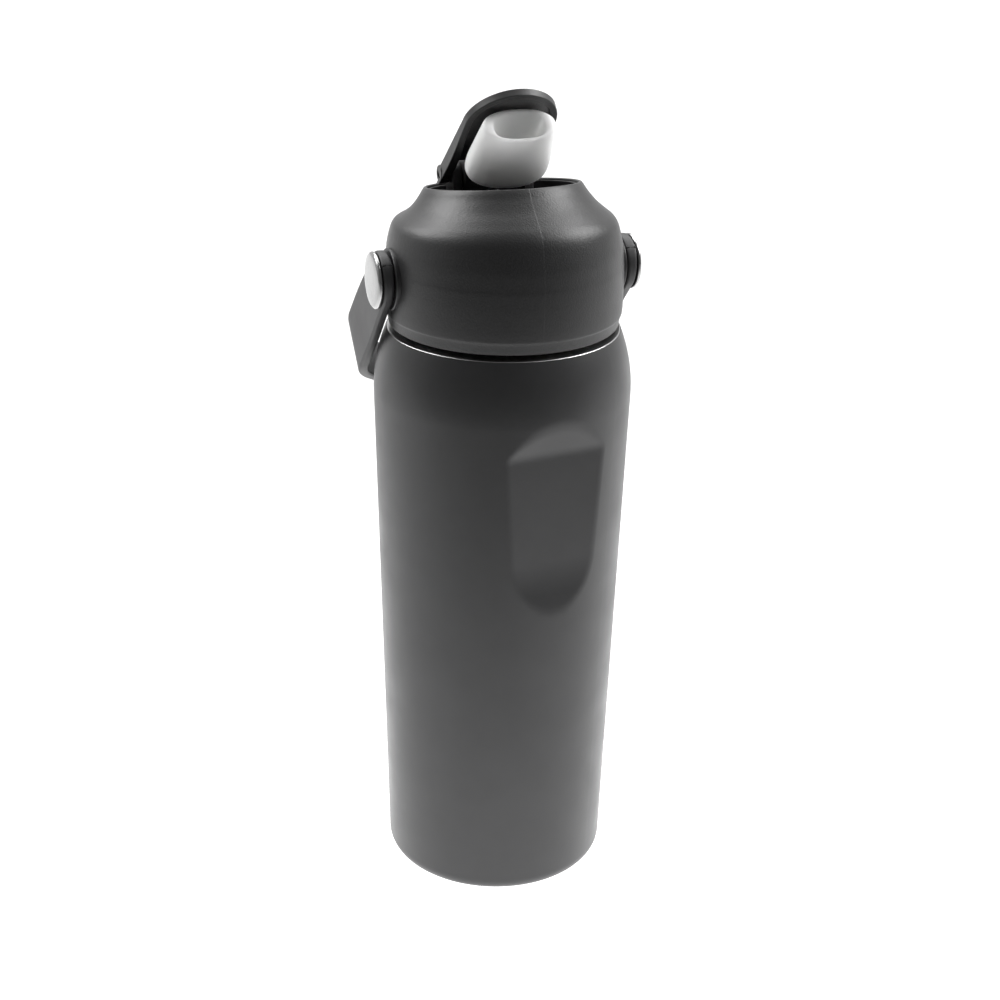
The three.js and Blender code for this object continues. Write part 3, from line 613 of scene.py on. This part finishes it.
def spacer_outline():
    """A ring with a groove round its outside."""
    low = BOSS_FACE + GAP
    high = low + SPACER_THICK
    middle = (low + high) / 2
    groove = [
        (SPACER_RADIUS, middle - GROOVE_HALF),
        (SPACER_RADIUS - GROOVE_DEPTH, middle),
        (SPACER_RADIUS, middle + GROOVE_HALF),
    ]
    return [(SPACER_BORE, low), (SPACER_RADIUS, low)] + groove + [(SPACER_RADIUS, high), (SPACER_BORE, high)]


def cap_outline():
    """A low dome with a straight back."""
    low = LOOP_OUTER + GAP
    dome = [(7.6, 0), (CAP_RADIUS, 0.3), (7.75, 0.75), (7.1, 1.25), (5.6, 1.5), (3, 1.58), (CORE, 1.6)]
    return filleted([(CORE, low)] + [(radius, low + rise) for radius, rise in dome], 0.5, 5)


def pivot_piece(outline, side, segments, **finish):
    """An outline turned round the carry loop's pivot, on one side of the lid."""
    piece = along_x(turned(outline, segments, **finish), side)
    return moved(piece, Matrix.Translation((0, 0, LOOP_Z)))


for side, tag in SIDES:
    boss = pivot_piece(rod(BOSS_RADIUS, BOSS_ROOT, BOSS_FACE), side, 64, fillet=0.4)
    crisp_object("Boss" + tag, boss, "lid", "lid_plastic", LID)
    spacer = pivot_piece(spacer_outline(), side, 64, closed=True, fillet=0.08)
    crisp_object("Spacer" + tag, spacer, "lid", "lid_plastic", DARK, "spacer_ring_" + tag.lower())
    cap = pivot_piece(cap_outline(), side, 96)
    new_object("Cap" + tag, cap, "lid", "chrome", CHROME, "pivot_cap_" + tag.lower())
    screw = pivot_piece(rod(SCREW_RADIUS, SCREW_ROOT, LOOP_OUTER + GAP), side, 32, fillet=0.2)
    new_object("Screw" + tag, screw, "lid", "steel", STEEL, "pivot_screw_" + tag.lower())

# ---- Lid: liner with its skirt, dish, hinge ears, port and straw nipple --------------------------


def liner_skirt():
    outline = [
        (SKIRT_INNER, SKIRT_BOTTOM),
        (SKIRT_OUTER, SKIRT_BOTTOM),
        (SKIRT_OUTER, FLOOR_TOP),
        (CORE, FLOOR_TOP),
        (CORE, FLOOR_LOW),
        (SKIRT_INNER, FLOOR_LOW),
    ]
    return turned(outline, fillet=0.3)


def liner_dish():
    outer = RIM_RADIUS - RIM_WALL - GAP
    return turned(sleeve(outer - DISH_WALL, outer, DISH_LOW, DISH_TOP), closed=True, fillet=0.2)


def liner_ear(side):
    """A plate that carries a hinge pin."""
    outline = [(HINGE_Y - EAR_HALF, EAR_LOW), (HINGE_Y + EAR_HALF, EAR_LOW)]
    for i in range(17):
        angle = i * pi / 16
        outline.append((HINGE_Y + EAR_RADIUS * cos(angle), HINGE_Z + EAR_RADIUS * sin(angle)))
    faces = (
        (EAR_INNER, EAR_BEVEL),
        (EAR_INNER + EAR_BEVEL, 0),
        (EAR_OUTER - EAR_BEVEL, 0),
        (EAR_OUTER, EAR_BEVEL),
    )
    rings = []
    for x, shrink in faces:
        ring = []
        for y, z in outline:
            inward_y = shrink if y > HINGE_Y else -shrink
            inward_z = shrink if z > HINGE_Z / 2 else -shrink
            ring.append((side * x, y - inward_y, z - inward_z))
        rings.append(ring)
    return loft(rings)


def liner_port():
    """The port under the spout's barrel, with a pocket for its seal."""
    outline = [
        (PORT_BORE, PORT_LOW),
        (PORT_RADIUS, PORT_LOW),
        (PORT_RADIUS, PORT_TOP),
        (PORT_POCKET, PORT_TOP),
        (PORT_POCKET, POCKET_FLOOR),
        (PORT_BORE, POCKET_FLOOR),
    ]
    return moved(turned(outline, 64, closed=True, fillet=0.3), Matrix.Translation((0, HINGE_Y, 0)))


def liner_nipple():
    outline = sleeve(NIPPLE_INNER, NIPPLE_OUTER, NIPPLE_LOW, NIPPLE_TOP)
    return moved(turned(outline, 48, closed=True, fillet=0.2), Matrix.Translation((0, STRAW_Y, 0)))


liner = together(
    liner_skirt(),
    moved(liner_dish(), leaning),
    moved(liner_ear(1), leaning),
    moved(liner_ear(-1), leaning),
    moved(liner_port(), leaning),
    liner_nipple(),
    helix(SKIRT_INNER, LID_THREAD_Z, tip=-1.2, root=0.4, half_root=1.0),
)
crisp_object("Liner", liner, "lid", "lid_plastic", DARK, "lid_liner")

# ---- Lid: gasket, vent valve and straw -----------------------------------------------------------

gasket = turned(sleeve(GASKET_INNER, GASKET_OUTER, GASKET_LOW, SEAT_Z), closed=True, fillet=0.35)
new_object("Gasket", gasket, "seal", "seal_silicone", SEAL, "lid_gasket")

valve_outline = [
    (CORE, 184.9),
    (3.3, 185.45),
    (3.4, SEAT_Z),
    (VENT_STEM, SEAT_Z),
    (VENT_STEM, 188.7),
    (2.1, 188.7),
    (1.5, 189.5),
    (CORE, 189.5),
]
valve = moved(turned(valve_outline, 48, fillet=0.2), Matrix.Translation((0, VENT_Y, 0)))
new_object("VentValve", valve, "lid", "seal_silicone", SEAL, "vent_valve")


def straw_end(x, y, z):
    """The straw's lower end is cut on a slant."""
    cut = STRAW_LIFT - y * STRAW_SLANT if z == STRAW_BOTTOM else 0
    return (x, y + STRAW_Y, z + cut)


straw = turned(sleeve(STRAW_INNER, STRAW_OUTER, STRAW_BOTTOM, SEAT_Z), 48, closed=True, warp=straw_end)
crisp_object("Straw", straw, "lid", "straw_plastic", STRAW, "straw")

# ---- Spout, drawn closed with its hinge axis at the origin ---------------------------------------

spout_place = leaning @ Matrix.Translation((0, HINGE_Y, HINGE_Z)) @ Matrix.Rotation(-OPEN_TURN, 4, "X")


def hood_edge(inset, steps=24):
    """Half of the hood's outline as (distance from the hinge, half-width)."""
    straight = HOOD_LENGTH - HOOD_NOSE
    points = []
    for i in range(9):
        points.append((straight * i / 8, ARM_OUTER + (HOOD_NOSE_HALF - ARM_OUTER) * i / 8 - inset))
    for i in range(1, steps + 1):
        angle = i / steps * pi / 2
        points.append((straight + (HOOD_NOSE - inset) * sin(angle), (HOOD_NOSE_HALF - inset) * cos(angle)))
    return points


def both_sides(right):
    """The whole outline as (x, y) points, from its right half."""
    return [(half, -reach) for reach, half in right] + [(-half, -reach) for reach, half in right[-2::-1]]


def hood_wall():
    """The wall round the hood's edge, which deepens into the two arms."""
    path = both_sides(hood_edge(0))
    rings = []
    for i, (x, y) in enumerate(path):
        before, after = path[max(i - 1, 0)], path[min(i + 1, len(path) - 1)]
        tangent = Vector((after[0] - before[0], after[1] - before[1])).normalized()
        inward = Vector((-tangent.y, tangent.x))
        if inward.dot(Vector((-x, -y - HOOD_MIDDLE))) < 0:
            inward = -inward
        low = HOOD_TOP - (ARM_DEPTH - NOSE_DEPTH_LOSS * eased(-y, 8, 28))
        width = ARM_WIDTH - NOSE_WIDTH_LOSS * eased(-y, 8, 20)
        waist = (0.05, (low + HOOD_TOP) / 2)
        section = [
            waist,
            (0, HOOD_TOP - 0.05),
            (0.02, HOOD_TOP),
            (width, HOOD_TOP),
            (width, low),
            (0, low),
            waist,
        ]
        section = filleted(section, 0.3, 3)[:-1]
        rings.append([(x + inward.x * a, y + inward.y * a, z) for a, z in section])
    return loft(rings)


def hood_sheet():
    """The sheet between the walls."""
    right = [(SHEET_BACK, ARM_OUTER - 1)] + [p for p in hood_edge(SHEET_INSET) if p[0] > SHEET_BACK]
    outline = both_sides(right)
    rings = []
    for drop, scale in ((SHEET_THICK, 1), (0.12, 1), (0.02, 1 - SHEET_TOP_SHRINK)):
        ring = []
        for x, y in outline:
            ring.append((x * scale, (y + SHEET_MIDDLE) * scale - SHEET_MIDDLE, HOOD_TOP - drop))
        rings.append(ring)
    return loft(rings)


def circle(radius, count=32):
    return [(radius * cos(2 * pi * i / count), radius * sin(2 * pi * i / count)) for i in range(count)]


def hood_eye(side):
    """The round end of an arm, with the pin's hole."""
    hole, edge = circle(EYE_HOLE), circle(EYE_RADIUS)
    sections = (
        (ARM_INNER, hole, 1),
        (ARM_INNER, edge, 0.93),
        (ARM_INNER + 0.2, edge, 1),
        (ARM_OUTER - 0.25, edge, 1),
        (ARM_OUTER, edge, 0.9),
        (ARM_OUTER, hole, 1.1),
        (ARM_OUTER - 0.2, hole, 1),
    )
    rings = [[(side * x, y * grow, z * grow) for y, z in ring] for x, ring, grow in sections]
    return loft(rings, closed_path=True)


hood = together(hood_wall(), hood_sheet(), hood_eye(1), hood_eye(-1))
crisp_object("Hood", moved(hood, spout_place), "spout", "lid_plastic", LID, "spout_hood")

# ---- Spout: the soft mouthpiece ------------------------------------------------------------------

mouth_axis = Vector((0, -(MOUTH_END[0] - MOUTH_START[0]), -(MOUTH_END[1] - MOUTH_START[1])))
mouth_along = mouth_axis.normalized()
mouth_up = Vector((0, mouth_along.z, -mouth_along.y))
mouth_origin = Vector((0, -MOUTH_START[0], -MOUTH_START[1]))


def oval(distance, half_width, above, below, power_above=2.2, power_below=2.2):
    """An oval across the mouthpiece at a distance along its axis."""
    ring = []
    for i in range(96):
        angle = 2 * pi * i / 96
        c, s = cos(angle), sin(angle)
        height, power = (above, power_above) if s >= 0 else (-below, power_below)
        x = half_width * abs(c) ** (2 / power) * (1 if c >= 0 else -1)
        z = height * abs(s) ** (2 / power)
        back = MOUTH_SLANT * eased(distance, 10, 20) * (above - z) / (above + below)
        place = mouth_origin + mouth_along * (distance - back) + Vector((x, 0, 0)) + mouth_up * z
        ring.append(tuple(place))
    return ring


# distance, half-width and half-height
MOUTH_OUTSIDE = [
    (0, 6.5, 3.4),
    (0.35, 8.6, 4.5),
    (1.3, 10.3, 5.5),
    (3.0, 11.3, 6.2),
    (5.4, 11.6, 6.4),
    (8.4, 11.5, 6.2),
    (12.5, 11.1, 5.6),
    (16.5, 10.7, 5.05),
    (19.4, 10.35, 4.75),
    (20.9, 10.15, 4.6),
]
# distance, half-width, height above and below the axis, squareness of the lower edge
MOUTH_LIP = [
    (21.3, 10.0, 4.5, 4.5, 2.2),
    (21.6, 9.65, 4.3, 4.35, 2.25),
    (21.72, 9.1, 4.1, 4.2, 2.3),
    (21.7, 8.3, 3.8, 4.08, 2.5),
    (21.55, 7.6, 3.5, 3.95, 2.8),
    (21.2, 7.1, 3.25, 3.75, 3.2),
]
MOUTH_OPENING = [
    (20.2, 6.8, 3.0, 3.5, 3.4),
    (17.8, 6.4, 2.8, 3.2, 3.2),
    (15.0, 5.8, 2.6, 2.8, 2.8),
    (13.0, 4.6, 2.3, 2.4, 2.4),
    (12.2, 3.2, 2.1, 2.1, 2.2),
    (12.0, 2.0, 1.9, 1.9, 2),
    (9.0, 1.9, 1.9, 1.9, 2),
]


def mouth_shape():
    """Outside from the back to the lip, then the opening with its straight front edge."""
    outside = smooth_curve(MOUTH_OUTSIDE, 3)
    rings = [oval(distance, width, height, height) for distance, width, height in outside]
    for distance, width, above, below, squareness in MOUTH_LIP + MOUTH_OPENING:
        rings.append(oval(distance, width, above, below, 2.3, squareness))
    return loft(rings)


mouth = new_object(
    "Mouthpiece", moved(mouth_shape(), spout_place), "spout", "milky_silicone", MILKY, "mouthpiece"
)
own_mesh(mouth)

# ---- Spout: the turning barrel, the tube into the mouthpiece and the hinge pins ------------------


def spout_tube():
    barrel = along_x(turned(rod(BARREL_RADIUS, -BARREL_HALF, BARREL_HALF), 64, fillet=0.4))
    course = Vector(TUBE_END)
    tube = turned(rod(TUBE_RADIUS, 0, course.length), 48, fillet=0.2)
    return together(barrel, moved(tube, course.to_track_quat("Z", "Y").to_matrix().to_4x4()))


crisp_object("SpoutTube", moved(spout_tube(), spout_place), "spout", "lid_plastic", DARK, "spout_tube")
for side, tag in SIDES:
    pin = moved(along_x(turned(rod(PIN_RADIUS, PIN_FROM, PIN_TO), 32, fillet=0.15), side), spout_place)
    new_object("HingePin" + tag, pin, "spout", "steel", STEEL, "hinge_pin_" + tag.lower())

# ---- Carry loop ----------------------------------------------------------------------------------


def band_half(reach):
    """Half the band's width at a distance from the pivots."""
    if reach < 0:
        return sqrt(max(EYE_HALF**2 - reach**2, 0.3))
    arm = EYE_HALF + (ARM_HALF - EYE_HALF) * eased(reach, 0, LOOP_ARM * 0.7)
    return arm + (GRIP_HALF - arm) * eased(reach, LOOP_ARM, LOOP_REACH - GRIP_EASE)


def band_section(half_width):
    """A flat section with rounded corners, as (across the thickness, along the width) points."""
    flat_x, flat_z = LOOP_THICK / 2 - LOOP_CORNER, half_width - LOOP_CORNER
    points = []
    for corner, (sign_x, sign_z) in enumerate(((1, 1), (-1, 1), (-1, -1), (1, -1))):
        for k in range(5):
            angle = radians(corner * 90 + k * 22.5)
            across = sign_x * flat_x + LOOP_CORNER * cos(angle)
            points.append((across, sign_z * flat_z + LOOP_CORNER * sin(angle)))
    return points


def loop_shape():
    """The band, from one eye round the arch to the other."""
    half, reach = LOOP_OUTER - LOOP_THICK / 2, LOOP_REACH - LOOP_THICK / 2
    ends = [-EYE_HALF * cos(i * pi / 28) for i in range(14)]
    arms = ends + [LOOP_ARM * i / 22 for i in range(22)]
    path = [(-half, place) for place in arms]
    for i in range(73):
        angle = i * pi / 72
        path.append((-half * cos(angle), LOOP_ARM + (reach - LOOP_ARM) * sin(angle)))
    path += [(half, place) for place in reversed(arms)]
    rings = []
    for i, (x, y) in enumerate(path):
        before, after = path[max(i - 1, 0)], path[min(i + 1, len(path) - 1)]
        tangent = Vector((after[0] - before[0], after[1] - before[1], 0)).normalized()
        across = Vector((-tangent.y, tangent.x, 0))
        ring = []
        for a, b in band_section(band_half(y)):
            ring.append(tuple(Vector((x, y, 0)) + across * a + Vector((0, 0, b))))
        rings.append(ring)
    resting = Matrix.Translation((0, 0, LOOP_Z)) @ Matrix.Rotation(-LOOP_DROP, 4, "X")
    return moved(loft(rings), resting)


crisp_object("CarryLoop", loop_shape(), "handle", "loop_plastic", LOOP, "carry_loop")

# ---- CAD pieces that keep their shape ------------------------------------------------------------

KEPT_NODES = {"base_plate": STEEL, "vacuum_plug": RESIN, "getter": GETTER, "port_seal": SEAL}
for node, material in KEPT_NODES.items():
    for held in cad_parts[node].material_slots:
        held.material = material

# ---- Floor, in metres from here on ---------------------------------------------------------------

VIEW = radians(19)
FLOOR_HALF, FLOOR_DROP = 6, 0.0002
away = Vector((sin(VIEW), cos(VIEW), 0))  # from the camera into the scene, level

floor_mesh = bpy.data.meshes.new("Floor")
floor_corners = [(x * FLOOR_HALF, y * FLOOR_HALF, 0) for x, y in ((-1, -1), (1, -1), (1, 1), (-1, 1))]
floor_mesh.from_pydata(floor_corners, [], [(0, 1, 2, 3)])
floor = bpy.data.objects.new("Floor", floor_mesh)
floor.location.z = -FLOOR_DROP
bpy.context.collection.objects.link(floor)


def grey_curve(tree, value, stops):
    """Greys that follow a value through (value, grey) stops."""
    low, high = stops[0][0], stops[-1][0]
    span = tree.nodes.new("ShaderNodeMapRange")
    span.inputs["From Min"].default_value = low
    span.inputs["From Max"].default_value = high
    tree.links.new(value, span.inputs["Value"])
    ramp = tree.nodes.new("ShaderNodeValToRGB")
    for _ in stops[1:-1]:
        ramp.color_ramp.elements.new(0.5)
    for element, (place, grey) in zip(ramp.color_ramp.elements, stops):
        element.position = (place - low) / (high - low)
        element.color = (grey, grey, grey, 1)
    tree.links.new(span.outputs["Result"], ramp.inputs["Fac"])
    return ramp.outputs["Color"]


def vector_math(tree, operation, *sources):
    """A vector node fed by its sources in turn."""
    node = tree.nodes.new("ShaderNodeVectorMath")
    node.operation = operation
    for source, socket in zip(sources, node.inputs):
        tree.links.new(source, socket)
    return node


def along_view(tree, source, stops):
    """Greys that follow how far a point or direction lies along the photo's view."""
    dot = vector_math(tree, "DOT_PRODUCT", source)
    dot.inputs[1].default_value = away
    return grey_curve(tree, dot.outputs["Value"], stops)


def floor_with_painted_light():
    """Painted shade and painted light: pale behind the flask and darker in front as painted shade, with a
    painted glow round the foot.
    """
    # painted light: the floor gives off light, strongest round the foot, and lights the flask from below
    paint = Paint("FloorPaint", Roughness=0.9, Specular_IOR_Level=0.1, Emission_Strength=1.45)
    tree = paint.tree
    # painted shade: the floor's colour darkens towards the camera's side, standing in for shade in front of
    # the flask
    tone = along_view(tree, paint.where, [(-0.5, 0.2), (-0.3, 0.3), (-0.12, 0.5), (0.5, 0.55), (2.0, 0.95)])
    paint.drive("Base Color", tone)
    # painted light: a pool of glow round the foot, weaker towards the front, fed into the floor's emission
    distance = vector_math(tree, "LENGTH", paint.where).outputs["Value"]
    painted_light_pool = grey_curve(tree, distance, [(0.04, 1.0), (0.15, 0.6), (0.4, 0.1), (0.8, 0.15), (2.0, 0.4)])
    front = along_view(tree, paint.where, [(-0.5, 0.1), (-0.3, 0.4), (-0.12, 1.0)])
    painted_glow = vector_math(tree, "MULTIPLY", painted_light_pool, front)
    paint.drive("Emission Color", painted_glow.outputs["Vector"])
    return paint.material


floor_mesh.materials.append(floor_with_painted_light())

# ---- Light and camera ----------------------------------------------------------------------------

world = bpy.data.worlds.new("Studio")
bpy.context.scene.world = world
world.use_nodes = True
sky = world.node_tree.nodes["Background"]
direction = world.node_tree.nodes.new("ShaderNodeTexCoord").outputs["Generated"]
tent = along_view(world.node_tree, direction, [(-0.9, 0.13), (-0.4, 0.17), (0.2, 0.6), (1, 0.88)])
world.node_tree.links.new(tent, sky.inputs["Color"])
sky.inputs["Strength"].default_value = 1.0


def area_light(name, place, target, width, height, power):
    data = bpy.data.lights.new(name, "AREA")
    data.shape = "RECTANGLE"
    data.size, data.size_y, data.energy = width, height, power
    lamp = bpy.data.objects.new(name, data)
    lamp.location = place
    lamp.rotation_euler = (Vector(target) - Vector(place)).to_track_quat("-Z", "Y").to_euler()
    bpy.context.collection.objects.link(lamp)


area_light("Back", place=(0.2, 0.6, 1.2), target=(0, 0, 0.1), width=1.4, height=1.0, power=14)
area_light("Left", place=(-0.75, 0.55, 1.0), target=(0, 0, 0.15), width=0.7, height=0.7, power=12)
area_light("Right", place=(0.95, -0.15, 0.95), target=(0, 0, 0.15), width=0.7, height=0.7, power=15)

SENSOR_MM, LENS_MM = 36, 67.8528
CAMERA_BACK, CAMERA_HEIGHT, CLIP_START = 0.5, 0.3262, 0.02
CAMERA_DIP, CAMERA_ROLL = 0.4034, 0.0191  # in radians

camera_data = bpy.data.cameras.new("Camera")
camera_data.sensor_width = SENSOR_MM
camera_data.lens = LENS_MM
camera_data.clip_start = CLIP_START
camera = bpy.data.objects.new("Camera", camera_data)
bpy.context.collection.objects.link(camera)
camera.matrix_world = (
    Matrix.Rotation(-VIEW, 4, "Z")
    @ Matrix.Translation((0, -CAMERA_BACK, CAMERA_HEIGHT))
    @ Matrix.Rotation(pi / 2 - CAMERA_DIP, 4, "X")
    @ Matrix.Rotation(CAMERA_ROLL, 4, "Z")
)
bpy.context.scene.camera = camera
bpy.context.scene.view_settings.view_transform = "Standard"
